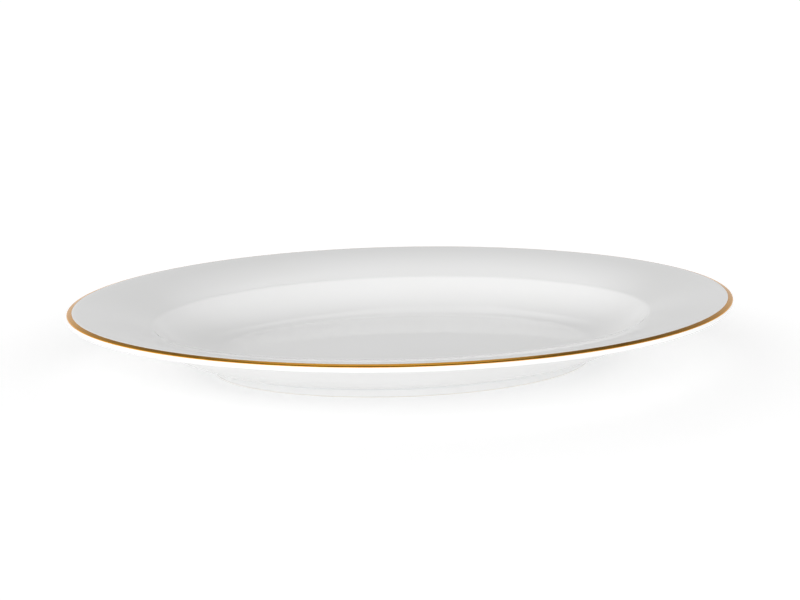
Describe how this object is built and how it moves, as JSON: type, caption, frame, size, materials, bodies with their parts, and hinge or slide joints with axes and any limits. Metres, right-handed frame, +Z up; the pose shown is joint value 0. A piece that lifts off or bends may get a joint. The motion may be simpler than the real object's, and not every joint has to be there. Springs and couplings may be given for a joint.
{
  "type": "china serving platter",
  "caption": "Oval glazed china serving platter with a wide flat rim, a shallow well, a raised foot ring and a thin gilt line round the lip.",
  "frame": {"origin": "middle of the plane that the foot ring rests on", "axes": "+X along the platter's long axis, +Y along its short axis, +Z up, out of the well"},
  "size_m": [0.35, 0.28, 0.033],
  "materials": {
    "bare_china": "unglazed fired porcelain, fine matt",
    "white_glaze": "clear glossy glaze over white porcelain",
    "fired_gold": "bright fired gold line"
  },
  "bodies": {
    "root": {"china_body": "bare_china", "outer_glaze": "white_glaze", "recess_glaze": "white_glaze", "gilt_line": "fired_gold"}
  },
  "joints": []
}
